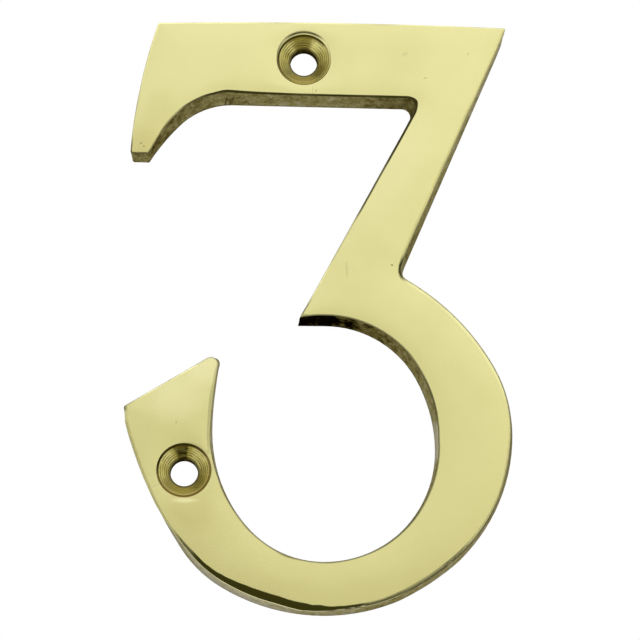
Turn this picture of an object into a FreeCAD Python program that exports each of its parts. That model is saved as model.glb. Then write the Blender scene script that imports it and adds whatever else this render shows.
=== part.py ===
import FreeCAD, Part
import math
import os

import Sketcher

# Cast brass door numeral, the figure 3, for fixing to a door with two countersunk wood screws.
# Frame in millimetres: +X to the right of a person facing the numeral, +Z up, front towards -Y.
# The origin is the middle of the upper screw hole, on the flat back that lies against the door.

# Driving sizes: millimetres, and degrees where the name says angle or sweep. The outline's are
# those of the front, from which the walls lean out all round to the back.
SIZES = {
    # The casting's section
    "thickness": 3.0,
    "draft_angle": 6.0,
    # Front edge, which buffing has rounded more along the outside of the bowl and the diagonal
    "edge_radius": 0.2,
    "outer_edge_radius": 0.5,
    # Dressed corners of the outline. The others stay crisp.
    "soft_corner_radius": 0.35,
    "tip_radius": 0.9,
    "inside_corner_radius": 1.1,
    "notch_radius": 1.3,
    # Top bar
    "top_above_hole": 4.69,
    "top_fall": 0.34,
    "top_crown_radius": 670.0,
    "bar_left": 18.52,
    "bar_right": 25.39,
    "bar_depth": 9.68,
    "underside_fall": 0.39,
    "corner_flat_height": 1.15,
    "corner_flat_inset": 0.33,
    # Serif that hangs from the left end of the bar
    "left_crown_radius": 66.7,
    "serif_lean": 3.15,
    "serif_drop": 7.7,
    "serif_tip_width": 2.0,
    "serif_radius": 28.3,
    "serif_knee_in": 3.75,
    "serif_knee_rise": 4.8,
    # Diagonal stroke
    "diagonal_top_width": 10.57,
    "counter_height": 28.9,
    "beak_reach": 15.13,
    "notch_reach": 12.1,
    "notch_rise": 5.74,
    # Opening of the bowl
    "beak_flat": 3.06,
    "opening_half_width": 14.12,
    "opening_height": 30.68,
    "opening_right_drop": 16.22,
    "waist_drop": 14.02,
    "opening_upper_sweep": 29.0,
    "opening_lower_right_sweep": 53.5,
    "opening_lower_left_sweep": 44.0,
    "terminal_radius": 36.3,
    "terminal_drop": 4.15,
    # Outside of the bowl
    "bottom_stroke": 5.87,
    "right_stroke": 9.02,
    "lower_right_sweep": 35.5,
    "upper_right_radius": 16.3,
    "upper_right_sweep": 28.5,
    "left_corner_reach": 10.62,
    "left_corner_drop": 11.37,
    "lower_left_radius": 24.1,
    "lower_left_sweep": 31.0,
    "shoulder_radius": 14.9,
    "shoulder_sweep": 25.6,
    # Screw holes
    "hole_diameter": 3.4,
    "countersink_diameter": 6.8,
    "countersink_angle": 90.0,
    "lower_hole_inset": 3.1,
    "lower_hole_drop": 19.38,
    # Shallow ring where the countersink cutter first touched above the upper hole
    "cutter_mark_rise": 0.4,
    "cutter_mark_depth": 0.08,
}

SHEET = "Sizes"
NODE = "door_number"
RIGHT, LEFT = -1, 1
HALF_TURN = math.pi
QUARTER_TURN = math.pi / 2
FORWARD = FreeCAD.Vector(0, 0, 1)
TOLERANCE = 1e-3


class Length:
    """A sum of named sizes: the number that places a drawing and the formula that drives it."""

    def __init__(self, number, formula):
        self.number = number
        self.formula = formula

    def __add__(self, other):
        return Length(self.number + other.number, f"{self.formula} + {other.formula}")

    def __sub__(self, other):
        return Length(self.number - other.number, f"{self.formula} - ({other.formula})")

    def __neg__(self):
        return Length(-self.number, f"-({self.formula})")


def named(name):
    """The size of that name."""
    return Length(SIZES[name], f"{SHEET}.{name}")


class Outline:
    """A closed chain of lines and arcs, drawn end to end with the metal on its left."""

    def __init__(self, sketch):
        self.sketch = sketch
        self.pen = None
        self.heading = 0.0
        self.end = None
        self.first = None
        self.corners = {}

    def bind(self, constraint, formula):
        """Adds a dimension and ties it to the sheet."""
        index = self.sketch.addConstraint(constraint)
        self.sketch.setExpression(f"Constraints[{index}]", formula)

    def pin_x(self, vertex, x):
        """Fixes how far a vertex lies to the right of the upper hole."""
        self.bind(Sketcher.Constraint("DistanceX", -1, 1, *vertex, x.number), x.formula)

    def pin_z(self, vertex, z):
        """Fixes how far a vertex lies above the upper hole."""
        self.bind(Sketcher.Constraint("DistanceY", -1, 1, *vertex, z.number), z.formula)

    def join(self, vertex, smooth):
        """Ties the start of the new edge to the end of the last one."""
        if self.end is None:
            self.first = vertex
        else:
            kind = "Tangent" if smooth else "Coincident"
            self.sketch.addConstraint(Sketcher.Constraint(kind, *self.end, *vertex))

    def corner(self, name):
        """Remembers the vertex that the pen is at as a corner to be dressed round."""
        self.corners.setdefault(name, []).append(self.end)

    def start(self, x, z):
        """Puts the pen down at the first corner."""
        self.pen = FreeCAD.Vector(x.number, z.number, 0)

    def face(self, angle):
        """Turns the pen at a corner, to an angle in radians from +X."""
        self.heading = angle

    def line(self, x, z, smooth=False):
        """A straight edge to the place x, z, which it pins."""
        target = FreeCAD.Vector(x.number, z.number, 0)
        edge = self.sketch.addGeometry(Part.LineSegment(self.pen, target))
        self.join((edge, 1), smooth)
        self.end = (edge, 2)
        self.pin_x(self.end, x)
        self.pin_z(self.end, z)
        self.heading = math.atan2(target.y - self.pen.y, target.x - self.pen.x)
        self.pen = target
        return edge

    def arc(self, turn, radius, sweep, smooth=True):
        """A round edge from the pen that turns left or right through sweep radians."""
        side = FreeCAD.Vector(-math.sin(self.heading), math.cos(self.heading), 0) * turn
        centre = self.pen + side * radius
        begin = math.atan2(self.pen.y - centre.y, self.pen.x - centre.x)
        finish = begin + turn * sweep
        circle = Part.Circle(centre, FORWARD, radius)
        edge = self.sketch.addGeometry(Part.ArcOfCircle(circle, *sorted((begin, finish))))
        near, far = (1, 2) if turn == LEFT else (2, 1)
        self.join((edge, near), smooth)
        self.end = (edge, far)
        self.pen = centre + FreeCAD.Vector(math.cos(finish), math.sin(finish), 0) * radius
        self.heading += turn * sweep
        return edge

    def arc_to(self, turn, radius, x, z):
        """A round edge of known radius from a corner to the place x, z, which it pins."""
        target = FreeCAD.Vector(x.number, z.number, 0)
        chord = target - self.pen
        half_sweep = math.asin(chord.Length / (2 * radius))
        self.face(math.atan2(chord.y, chord.x) - turn * half_sweep)
        edge = self.arc(turn, radius, 2 * half_sweep, smooth=False)
        self.pin_x(self.end, x)
        self.pin_z(self.end, z)
        return edge

    def arc_onto(self, x, z):
        """A round edge that leaves smoothly for the place x, z, whatever radius that takes."""
        target = FreeCAD.Vector(x.number, z.number, 0)
        chord = target - self.pen
        half_sweep = math.atan2(chord.y, chord.x) - self.heading
        half_sweep = (half_sweep + HALF_TURN) % (2 * HALF_TURN) - HALF_TURN
        turn = LEFT if half_sweep > 0 else RIGHT
        radius = chord.Length / (2 * math.sin(abs(half_sweep)))
        edge = self.arc(turn, radius, 2 * abs(half_sweep))
        self.pin_x(self.end, x)
        self.pin_z(self.end, z)
        return edge

    def set_radius(self, edge, name):
        """Ties an arc's radius to a size."""
        self.bind(Sketcher.Constraint("Radius", edge, SIZES[name]), f"{SHEET}.{name}")

    def set_sweep(self, edge, name):
        """Ties the angle that an arc turns through to a size."""
        angle = math.radians(SIZES[name])
        self.bind(Sketcher.Constraint("Angle", edge, angle), f"{SHEET}.{name} * 1 deg")

    def plumb(self, edge):
        """Keeps the last arc's centre straight above or below its end, where its edge is level."""
        self.sketch.addConstraint(Sketcher.Constraint("Vertical", edge, 3, *self.end))

    def level(self, edge):
        """Keeps the last arc's centre level with its end, where its edge is upright."""
        self.sketch.addConstraint(Sketcher.Constraint("Horizontal", edge, 3, *self.end))

    def quarter(self, turn, x, z, side_sweep, from_side):
        """A quarter of an oval in two arcs, from the pen to the place x, z.

        One arc belongs to the side of the oval, where its edge is upright, and turns through the
        size side_sweep. The other belongs to the top or bottom, where its edge is level.
        """
        across = abs(x.number - self.pen.x)
        rise = abs(z.number - self.pen.y)
        sweep = math.radians(SIZES[side_sweep])
        cosine, sine = math.cos(sweep), math.sin(sweep)
        determinant = (1 - cosine) * (1 - sine) - cosine * sine
        side_radius = (across * (1 - sine) - rise * cosine) / determinant
        end_radius = (rise * (1 - cosine) - across * sine) / determinant
        if from_side:
            self.set_sweep(self.arc(turn, side_radius, sweep), side_sweep)
            self.plumb(self.arc(turn, end_radius, QUARTER_TURN - sweep))
        else:
            self.arc(turn, end_radius, QUARTER_TURN - sweep)
            side = self.arc(turn, side_radius, sweep)
            self.set_sweep(side, side_sweep)
            self.level(side)
        self.pin_x(self.end, x)
        self.pin_z(self.end, z)

    def close(self):
        """Ties the last edge to the first, whose corner is pinned there."""
        self.sketch.addConstraint(Sketcher.Constraint("Coincident", *self.end, *self.first))


# Levels, from the upper screw hole
TOP = named("top_above_hole")
UNDERSIDE = TOP - named("bar_depth")
SERIF_FOOT = UNDERSIDE - named("serif_drop")
BEAK_LEVEL = UNDERSIDE - named("counter_height")
OPENING_BOTTOM = BEAK_LEVEL - named("opening_height")
BOTTOM = OPENING_BOTTOM - named("bottom_stroke")
WAIST = BEAK_LEVEL - named("waist_drop")
TIP_LEVEL = BEAK_LEVEL - named("terminal_drop")

# Places across, from the upper screw hole
BAR_LEFT = -named("bar_left")
BAR_RIGHT = named("bar_right")
INSIDE_CORNER = BAR_RIGHT - named("diagonal_top_width")
BEAK = INSIDE_CORNER - named("beak_reach")
BOWL_MIDDLE = BEAK + named("beak_flat")
OPENING_LEFT = BOWL_MIDDLE - named("opening_half_width")
OPENING_RIGHT = BOWL_MIDDLE + named("opening_half_width")
LOWER_HOLE = (OPENING_LEFT - named("lower_hole_inset"), BEAK_LEVEL - named("lower_hole_drop"))


def draw_outline(sketch):
    """The numeral's outline at its front, from the top left corner down the left and round.

    Returns the sketch vertices of the corners, sorted by the size that rounds them.
    """
    outline = Outline(sketch)
    draw_serif(outline)
    draw_opening(outline)
    draw_bowl(outline)
    draw_right_side(outline)
    return outline.corners


def draw_serif(outline):
    """The bar's left end, the serif under it and the underside of the bar."""
    tip_left = BAR_LEFT - named("serif_lean")
    tip_right = tip_left + named("serif_tip_width")
    knee = (tip_right + named("serif_knee_in"), SERIF_FOOT + named("serif_knee_rise"))
    outline.start(BAR_LEFT, TOP)
    left_edge = outline.arc_to(LEFT, SIZES["left_crown_radius"], tip_left, SERIF_FOOT)
    outline.set_radius(left_edge, "left_crown_radius")
    outline.corner("soft_corner_radius")
    outline.line(tip_right, SERIF_FOOT)
    serif = outline.arc_to(RIGHT, SIZES["serif_radius"], *knee)
    outline.set_radius(serif, "serif_radius")

    # The throat turns the serif into the underside of the bar. Its radius follows from both.
    slope = math.atan2(-SIZES["underside_fall"], INSIDE_CORNER.number - outline.pen.x)
    rise = UNDERSIDE.number - outline.pen.y
    throat_radius = rise / (math.cos(slope) - math.cos(outline.heading))
    outline.arc(RIGHT, throat_radius, outline.heading - slope)
    outline.pin_z(outline.end, UNDERSIDE)
    outline.line(INSIDE_CORNER, UNDERSIDE - named("underside_fall"), smooth=True)
    outline.corner("inside_corner_radius")


def draw_opening(outline):
    """The diagonal's left side, its beak and the inside of the bowl, up to the terminal."""
    right_waist = BEAK_LEVEL - named("opening_right_drop")
    outline.line(BEAK, BEAK_LEVEL)
    outline.line(BOWL_MIDDLE, BEAK_LEVEL)
    outline.quarter(RIGHT, OPENING_RIGHT, right_waist, "opening_upper_sweep", from_side=False)
    outline.quarter(RIGHT, BOWL_MIDDLE, OPENING_BOTTOM, "opening_lower_right_sweep", from_side=True)
    outline.quarter(RIGHT, OPENING_LEFT, WAIST, "opening_lower_left_sweep", from_side=False)

    # The inner edge of the terminal leans in above the waist, up to the tip
    radius = SIZES["terminal_radius"]
    inner_edge = outline.arc(RIGHT, radius, math.asin((TIP_LEVEL.number - WAIST.number) / radius))
    outline.set_radius(inner_edge, "terminal_radius")
    outline.pin_z(outline.end, TIP_LEVEL)
    outline.corner("tip_radius")


def draw_bowl(outline):
    """The straight cut of the terminal and the outside of the bowl, round to the notch."""
    outline.line(OPENING_LEFT - named("left_corner_reach"), BEAK_LEVEL - named("left_corner_drop"))
    draw_flank(outline)
    bowl_right = OPENING_RIGHT + named("right_stroke")
    outline.quarter(LEFT, bowl_right, WAIST, "lower_right_sweep", from_side=False)
    upper = outline.arc(LEFT, SIZES["upper_right_radius"], math.radians(SIZES["upper_right_sweep"]))
    outline.set_radius(upper, "upper_right_radius")
    outline.set_sweep(upper, "upper_right_sweep")
    outline.arc_onto(BEAK + named("notch_reach"), BEAK_LEVEL + named("notch_rise"))
    outline.corner("notch_radius")


def draw_flank(outline):
    """The bowl's left flank, its shoulder and the arc that runs in to the level bottom."""
    lower_radius = SIZES["lower_left_radius"]
    shoulder_radius = SIZES["shoulder_radius"]
    lower_heading = -math.radians(SIZES["lower_left_sweep"])
    flank_heading = lower_heading - math.radians(SIZES["shoulder_sweep"])
    bottom = FreeCAD.Vector(BOWL_MIDDLE.number, BOTTOM.number, 0)
    shoulder_end = bottom - left_step(lower_radius, lower_heading, 0)
    flank_foot = shoulder_end - left_step(shoulder_radius, flank_heading, lower_heading)

    # The flank runs from the corner into the shoulder. Its radius follows from both.
    chord = flank_foot - outline.pen
    half_sweep = flank_heading - math.atan2(chord.y, chord.x)
    outline.face(flank_heading - 2 * half_sweep)
    turn = LEFT if half_sweep > 0 else RIGHT
    radius = chord.Length / (2 * math.sin(abs(half_sweep)))
    outline.arc(turn, radius, 2 * abs(half_sweep), smooth=False)
    shoulder = outline.arc(LEFT, shoulder_radius, lower_heading - flank_heading)
    outline.set_radius(shoulder, "shoulder_radius")
    outline.set_sweep(shoulder, "shoulder_sweep")
    lower = outline.arc(LEFT, lower_radius, -lower_heading)
    outline.set_radius(lower, "lower_left_radius")
    outline.set_sweep(lower, "lower_left_sweep")
    outline.plumb(lower)
    outline.pin_x(outline.end, BOWL_MIDDLE)
    outline.pin_z(outline.end, BOTTOM)


def left_step(radius, begin, finish):
    """How far an arc that turns left carries the pen, from one heading to another."""
    across = math.sin(finish) - math.sin(begin)
    up = math.cos(begin) - math.cos(finish)
    return FreeCAD.Vector(across, up, 0) * radius


def draw_right_side(outline):
    """The diagonal's right side, the steeper flat at its top corner and the crowned top edge."""
    top_right = TOP - named("top_fall")
    outline.line(BAR_RIGHT - named("corner_flat_inset"), top_right - named("corner_flat_height"))
    outline.line(BAR_RIGHT, top_right)
    top_edge = outline.arc_to(LEFT, SIZES["top_crown_radius"], BAR_LEFT, TOP)
    outline.set_radius(top_edge, "top_crown_radius")
    outline.corner("soft_corner_radius")
    outline.close()


def make_sheet(document):
    """The sheet that holds every driving size."""
    sheet = document.addObject("Spreadsheet::Sheet", SHEET)
    for row, (name, value) in enumerate(SIZES.items(), start=1):
        sheet.set(f"A{row}", name)
        sheet.set(f"B{row}", str(value))
        sheet.setAlias(f"B{row}", name)
    return sheet


def add_sketch(body, name, height=None):
    """An empty sketch on the back plane, facing forward, or lifted off it by a named height."""
    plane = next(item for item in body.Origin.OriginFeatures if item.Role == "XZ_Plane")
    sketch = body.newObject("Sketcher::SketchObject", name)
    sketch.AttachmentSupport = [(plane, "")]
    sketch.MapMode = "FlatFace"
    if height:
        sketch.setExpression("AttachmentOffset.Base.z", f"{SHEET}.{height}")
    return sketch


def add_feature(body, kind, name):
    """A new feature at the tip of the body."""
    return body.newObject(f"PartDesign::{kind}", name)


def upright_edges(shape, places):
    """Names of the edges that run from the back to the front at the given places on the front."""
    names = []
    for index, edge in enumerate(shape.Edges, start=1):
        back = max((vertex.Point for vertex in edge.Vertexes), key=lambda point: point.y)
        front = min((vertex.Point for vertex in edge.Vertexes), key=lambda point: point.y)
        through = back.y - front.y > SIZES["thickness"] - TOLERANCE
        if through and any(place.distanceToPoint(front) < TOLERANCE for place in places):
            names.append(f"Edge{index}")
    return names


def crisp_front_edges(shape):
    """The edges, by name, where the flat front meets a wall that runs to the back."""
    front = min(shape.Faces, key=lambda face: face.BoundBox.YMax)
    walls = [face for face in shape.Faces
             if face.BoundBox.YLength > SIZES["thickness"] - TOLERANCE]
    rims = [edge for wall in walls for edge in wall.Edges
            if any(edge.isSame(rim) for rim in front.Edges)]
    return {f"Edge{index}": edge for index, edge in enumerate(shape.Edges, start=1)
            if any(edge.isSame(rim) for rim in rims)}


def round_front(document, body, casting):
    """Rounds the front edge. One edge is enough for the outside: those tangent to it follow."""
    rims = crisp_front_edges(casting.Shape)
    lowest = min(rims, key=lambda name: rims[name].BoundBox.ZMin)
    outer = round_edges(body, "OuterEdge", casting, [lowest], "outer_edge_radius")
    document.recompute()
    others = list(crisp_front_edges(outer.Shape))
    inner = round_edges(body, "InnerEdge", outer, others, "edge_radius")
    document.recompute()
    return inner


def round_edges(body, name, base, edges, radius):
    """A fillet of a named radius along the given edges."""
    fillet = add_feature(body, "Fillet", name)
    fillet.Base = (base, edges)
    fillet.setExpression("Radius", f"{SHEET}.{radius}")
    return fillet


def dress_corners(document, body, sketch, corners, base):
    """Rounds each upright corner of the casting."""
    for radius, vertices in corners.items():
        places = []
        for vertex in vertices:
            point = sketch.getPoint(*vertex)
            places.append(FreeCAD.Vector(point.x, -SIZES["thickness"], point.y))
        edges = upright_edges(base.Shape, places)
        name = radius.title().replace("_", "").replace("Radius", "")
        base = round_edges(body, name, base, edges, radius)
        document.recompute()
    return base


def check_cut(feature, before):
    """Stops if a cut took nothing off, as one that points away from the metal does."""
    if feature.Shape.Volume > before.Shape.Volume - TOLERANCE:
        raise RuntimeError(f"{feature.Name} removed nothing")


def draw_circle(sketch, x, z, diameter):
    """A circle of a named diameter at the place x, z."""
    centre = FreeCAD.Vector(x.number, z.number, 0)
    circle = Part.Circle(centre, FORWARD, SIZES[diameter] / 2)
    edge = sketch.addGeometry(circle)
    outline = Outline(sketch)
    outline.pin_x((edge, 3), x)
    outline.pin_z((edge, 3), z)
    outline.bind(Sketcher.Constraint("Diameter", edge, SIZES[diameter]), f"{SHEET}.{diameter}")


def make_numeral(document):
    """The casting: drafted plate, dressed corners, rounded front edge and two screw holes."""
    body = document.addObject("PartDesign::Body", NODE)
    body.Label = NODE
    outline = add_sketch(body, "OutlineSketch", height="thickness")
    corners = draw_outline(outline)
    document.recompute()

    casting = add_feature(body, "Pad", "Casting")
    casting.Profile = outline
    casting.Reversed = True
    casting.setExpression("Length", f"{SHEET}.thickness")
    casting.setExpression("TaperAngle", f"{SHEET}.draft_angle * 1 deg")
    document.recompute()
    dressed = dress_corners(document, body, outline, corners, casting)
    rounded = round_front(document, body, dressed)
    cut_screw_holes(document, body, rounded)
    return body


def cut_screw_holes(document, body, casting):
    """Both countersunk holes, then the cutter's mark over the upper one."""
    here = Length(0.0, "0")
    hole_sketch = add_sketch(body, "ScrewHoleSketch", height="thickness")
    draw_circle(hole_sketch, here, here, "hole_diameter")
    draw_circle(hole_sketch, *LOWER_HOLE, "hole_diameter")
    holes = add_feature(body, "Hole", "ScrewHoles")
    holes.Profile = hole_sketch
    document.recompute()
    holes.ThreadType = "None"
    holes.DepthType = "ThroughAll"
    holes.HoleCutType = "Countersink"
    holes.HoleCutCustomValues = True
    holes.setExpression("Diameter", f"{SHEET}.hole_diameter")
    holes.setExpression("HoleCutDiameter", f"{SHEET}.countersink_diameter")
    holes.setExpression("HoleCutCountersinkAngle", f"{SHEET}.countersink_angle * 1 deg")
    document.recompute()
    check_cut(holes, casting)

    mark_sketch = add_sketch(body, "CutterMarkSketch", height="thickness")
    draw_circle(mark_sketch, here, named("cutter_mark_rise"), "countersink_diameter")
    mark = add_feature(body, "Pocket", "CutterMark")
    mark.Profile = mark_sketch
    mark.SideType = "Two sides"
    mark.setExpression("Length", f"{SHEET}.cutter_mark_depth")
    mark.setExpression("Length2", f"{SHEET}.thickness")
    document.recompute()
    check_cut(mark, holes)


def main():
    """Builds the numeral, checks it and writes its solid."""
    document = FreeCAD.newDocument("DoorNumber")
    make_sheet(document)
    document.recompute()
    body = make_numeral(document)
    document.recompute()
    for item in document.Objects:
        if {"Invalid", "Error"} & set(item.State):
            raise RuntimeError(f"{item.Name} failed: {item.State}")
    shape = body.Shape
    if shape.isNull() or not shape.isValid() or len(shape.Solids) != 1:
        raise RuntimeError(f"{body.Label} is not one valid solid")
    os.makedirs("parts", exist_ok=True)
    shape.exportStep(f"parts/{body.Label}.step")
    box = shape.optimalBoundingBox()
    print(f"{body.Label}: {box.XLength:.2f} x {box.YLength:.2f} x {box.ZLength:.2f} mm, "
          f"{shape.Volume:.0f} cubic mm, {len(shape.Faces)} faces")


main()
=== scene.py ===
"""Dressed model of a cast brass door numeral, the figure 3, with two countersunk screw holes.

The numeral is a sand casting. Its front was buffed bright and lacquered, its walls were left as
they came out of the mould, and both screw holes were drilled and turned afterwards. Everything
here is in metres in the frame of the casting: +X right, +Z up and the front towards -Y.
"""
from __future__ import annotations

import logging
import math
from dataclasses import dataclass
from enum import Enum
from typing import Any

import bmesh
import bpy
import numpy as np
from mathutils import Euler, Matrix, Vector, geometry, kdtree

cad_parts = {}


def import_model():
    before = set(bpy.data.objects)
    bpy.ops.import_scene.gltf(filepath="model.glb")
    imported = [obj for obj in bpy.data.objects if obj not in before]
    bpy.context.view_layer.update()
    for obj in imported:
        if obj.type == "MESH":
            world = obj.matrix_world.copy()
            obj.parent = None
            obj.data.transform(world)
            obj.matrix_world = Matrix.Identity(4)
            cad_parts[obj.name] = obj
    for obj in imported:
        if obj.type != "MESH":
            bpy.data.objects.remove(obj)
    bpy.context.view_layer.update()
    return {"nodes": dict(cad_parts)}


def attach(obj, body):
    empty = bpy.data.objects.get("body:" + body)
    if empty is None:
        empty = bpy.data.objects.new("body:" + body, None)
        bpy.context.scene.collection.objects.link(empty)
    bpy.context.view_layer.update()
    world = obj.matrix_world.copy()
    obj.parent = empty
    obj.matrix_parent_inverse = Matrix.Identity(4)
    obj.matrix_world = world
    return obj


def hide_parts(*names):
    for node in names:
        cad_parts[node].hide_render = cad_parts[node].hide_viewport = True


MM = 0.001
THICKNESS_MM = 3.0
BORE_RADIUS_MM = 1.7
COUNTERSINK_RADIUS_MM = 3.4
NODE = "door_number"
BODY = "root"
RIM_ATTRIBUTE = "rim_distance"
EDGE_ATTRIBUTES = ("edge_shadow", "edge_line", "edge_creep", "wall_dirt_and_shade")

log = logging.getLogger("door_number")


def linear(hex_colour: str) -> tuple[float, float, float, float]:
    """Turns an sRGB hex colour into the linear colour that a shader takes.

    Args:
        hex_colour: Six hex digits, such as "E8E3A2".

    Returns:
        Red, green, blue and an alpha of one.
    """
    channels = []
    for start in (0, 2, 4):
        value = int(hex_colour[start:start + 2], 16) / 255
        low = value <= 0.04045
        channels.append(value / 12.92 if low else ((value + 0.055) / 1.055) ** 2.4)
    return channels[0], channels[1], channels[2], 1.0


def per_metre(size_mm: float) -> float:
    """The texture scale at which one feature of a pattern spans size_mm."""
    return 1 / (size_mm * MM)


def add_node(tree: bpy.types.NodeTree, kind: str, settings: dict[str, Any] | None = None,
             **inputs: Any) -> bpy.types.Node:
    """Adds a node with its settings and links.

    Args:
        tree: The node tree that the node goes into.
        kind: The node's type, without its ShaderNode prefix.
        settings: Properties of the node itself.
        **inputs: A value or an output socket for each input, by its name with underscores for
            spaces, or by i and its number where names repeat.

    Returns:
        The new node.
    """
    node = tree.nodes.new(f"ShaderNode{kind}")
    for name, value in (settings or {}).items():
        setattr(node, name, value)
    for name, value in inputs.items():
        numbered = name[0] == "i" and name[1:].isdigit()
        socket = node.inputs[int(name[1:]) if numbered else name.replace("_", " ")]
        if isinstance(value, bpy.types.NodeSocket):
            tree.links.new(value, socket)
        else:
            socket.default_value = value
    return node


def add_object(name: str, data: bpy.types.ID) -> bpy.types.Object:
    """Adds an object to the scene.

    Args:
        name: Its name.
        data: Its mesh, lamp or camera.

    Returns:
        The object.
    """
    item = bpy.data.objects.new(name, data)
    bpy.context.scene.collection.objects.link(item)
    return item


class Region(Enum):
    """The surfaces of the numeral, in the order of its material slots."""

    FRONT = 0
    WALL = 1
    COUNTERSINK = 2
    BORE = 3
    BACK = 4


@dataclass(frozen=True)
class Viewpoint:
    """The camera at the photograph's place, a little below the numeral and looking up.

    Its place and turn were matched to the screw holes and the outline in the picture.
    """

    location_mm: tuple[float, float, float] = (-3.408, -388.911, -130.671)
    turn_degrees: tuple[float, float, float] = (104.041, -0.229, -0.887)
    lens: float = 179.98
    sensor: float = 36.0
    pixels: int = 640
    near: float = 0.01

    @property
    def turn(self) -> Matrix:
        """The camera's right, up and backward axes, as the columns of a matrix."""
        return Euler([math.radians(angle) for angle in self.turn_degrees]).to_matrix()

    def on_front(self, across: float, down: float) -> tuple[float, float]:
        """Where a place in the picture lies on the front of the numeral.

        Args:
            across: Pixels from the left edge of the picture.
            down: Pixels from its top edge.

        Returns:
            X and Z in millimetres.
        """
        middle = self.pixels / 2
        sight = self.turn @ Vector((across - middle, middle - down,
                                    -self.lens / self.sensor * self.pixels))
        place = Vector(self.location_mm)
        place += sight * ((-THICKNESS_MM - place.y) / sight.y)
        return place.x, place.z

    def place(self) -> None:
        """Adds the camera and makes it the scene's own."""
        data = bpy.data.cameras.new("camera")
        data.lens = self.lens
        data.sensor_width = self.sensor
        data.clip_start = self.near
        data.dof.use_dof = False
        camera = add_object("camera", data)
        spot = Matrix.Translation(Vector(self.location_mm) * MM)
        camera.matrix_world = spot @ self.turn.to_4x4()
        bpy.context.scene.camera = camera


@dataclass(frozen=True)
class EdgeNote:
    """What the edge looks like at one place along the outline, judged one by one.

    across and down are where the place is seen, in pixels of the picture. shadow is the painted
    dark reflection on the inner half of the rounding and line the dark line of painted reflection
    on its outer half, both from nought to one. creep is how far the shadow comes on to the front,
    in millimetres. The last goes from nought, a clean wall, to one, a black wall, and holds both
    the sand's grime and painted shade where the wall lies in shade.
    """

    across: float
    down: float
    shadow: float
    line: float
    creep: float
    dirt_and_shade: float


EDGE_NOTES = tuple(EdgeNote(*facts) for facts in (
    # Top, from the left
    (158, 24, 0, 0.1, 0, 0.2), (230, 21, 0, 0, 0, 0.2), (330, 23, 0, 0, 0, 0.2),
    (430, 26, 0, 0, 0, 0.2),
    # Right side of the diagonal, and the notch
    (503, 29, 0, 0.5, 0, 0.3), (497, 45, 0, 0.6, 0, 0.3), (480, 85, 0, 0.6, 0, 0.35),
    (455, 140, 0, 0.7, 0, 0.4), (430, 195, 0, 0.8, 0, 0.45), (408, 245, 0.1, 0.9, 0, 0.55),
    (398, 268, 1, 0.6, 0, 0.45),
    # Outside of the bowl, down its right side
    (415, 285, 0, 0.6, 0, 0.5), (460, 322, 0, 0.7, 0, 0.5), (492, 375, 0, 0.8, 0, 0.5),
    (508, 430, 0.1, 0.9, 0, 0.5), (505, 480, 0.25, 0.85, 0, 0.5), (480, 535, 0.3, 1, 0, 0.4),
    (458, 558, 0.7, 1, 0, 0.4), (430, 585, 0.7, 1, 0, 0.4),
    # Bottom of the bowl
    (380, 605, 0.9, 0.4, 0, 0.5), (350, 609, 1, 0.7, 0.05, 0.35), (335, 609, 1, 0.7, 0.12, 0.36),
    (315, 608, 1, 0.3, 0.35, 0.38), (300, 607, 1, 0, 0.5, 0.32), (286, 604, 1, 0, 0.55, 0.25),
    (272, 600, 1, 0, 0.55, 0.2), (258, 596, 1, 0, 0.53, 0.15), (245, 592, 1, 0, 0.5, 0.15),
    (233, 586, 1, 0, 0.36, 0.15), (222, 580, 1, 0, 0.24, 0.15), (211, 572, 1, 0, 0.12, 0.15),
    (200, 563, 1, 0, 0.05, 0.2),
    # Left flank, up to the corner
    (185, 545, 0.9, 0.1, 0, 0.25), (172, 520, 0.3, 0.5, 0, 0.4), (150, 465, 0.05, 0.45, 0, 0.35),
    (130, 425, 0.05, 0.4, 0, 0.35), (127, 414, 0, 0.3, 0, 0.2), (124, 406, 0.5, 1, 0, 0.5),
    # Cut end and inner side of the terminal
    (150, 393, 0, 0.8, 0, 0.3), (185, 373, 0, 0.8, 0, 0.3), (214, 359, 0.3, 0.8, 0, 0.4),
    (219, 375, 0.32, 0.7, 0.16, 0.35), (213, 400, 0.34, 0.7, 0.3, 0.3),
    (210, 435, 0.3, 0.8, 0.25, 0.3), (214, 465, 0.15, 1, 0, 0.4),
    # Inside of the bowl, from the foot to the beak
    (232, 503, 0.6, 1, 0, 0.5), (265, 542, 0.6, 1, 0, 0.5), (310, 561, 0.6, 1, 0, 0.5),
    (350, 557, 0.7, 1, 0, 0.5), (400, 530, 0.8, 1, 0.04, 0.6), (432, 480, 0.6, 1, 0, 0.5),
    (438, 440, 0.7, 0.9, 0, 0.15), (430, 400, 0.9, 1, 0, 0.45), (405, 360, 0.6, 0.9, 0, 0.58),
    (370, 330, 0.6, 0.9, 0, 0.7), (345, 320, 0.7, 0.9, 0, 0.9), (325, 318, 0.7, 1, 0, 1),
    (303, 318, 0.7, 0.6, 0, 1),
    # Left side of the diagonal, up to the inside corner
    (320, 285, 0, 0.15, 0, 0.3), (345, 238, 0.3, 0.6, 0, 0.4), (368, 195, 0.9, 1, 0.06, 0.6),
    (395, 140, 1, 1, 0.1, 0.8), (411, 112, 1, 1, 0.12, 0.72), (414, 101, 1, 0.3, 0.1, 0.66),
    # Underside of the bar, from the right, and the throat
    (400, 98, 1, 0, 0.1, 0.58), (340, 95, 1, 0, 0.08, 0.45), (270, 93, 1, 0, 0.07, 0.45),
    (232, 91, 1, 0, 0.1, 0.55), (215, 94, 1, 1, 0.07, 0.5), (198, 102, 0.9, 1, 0.05, 0.56),
    (172, 123, 0.4, 0.7, 0, 0.58), (155, 143, 0.3, 0.7, 0, 0.7),
    # Foot and left side of the serif
    (142, 150, 0.8, 0.7, 0, 0.55), (133, 149, 0.9, 0.8, 0, 0.5), (134, 130, 0, 0.5, 0, 0.3),
    (145, 70, 0, 0.5, 0, 0.3),
))


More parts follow.
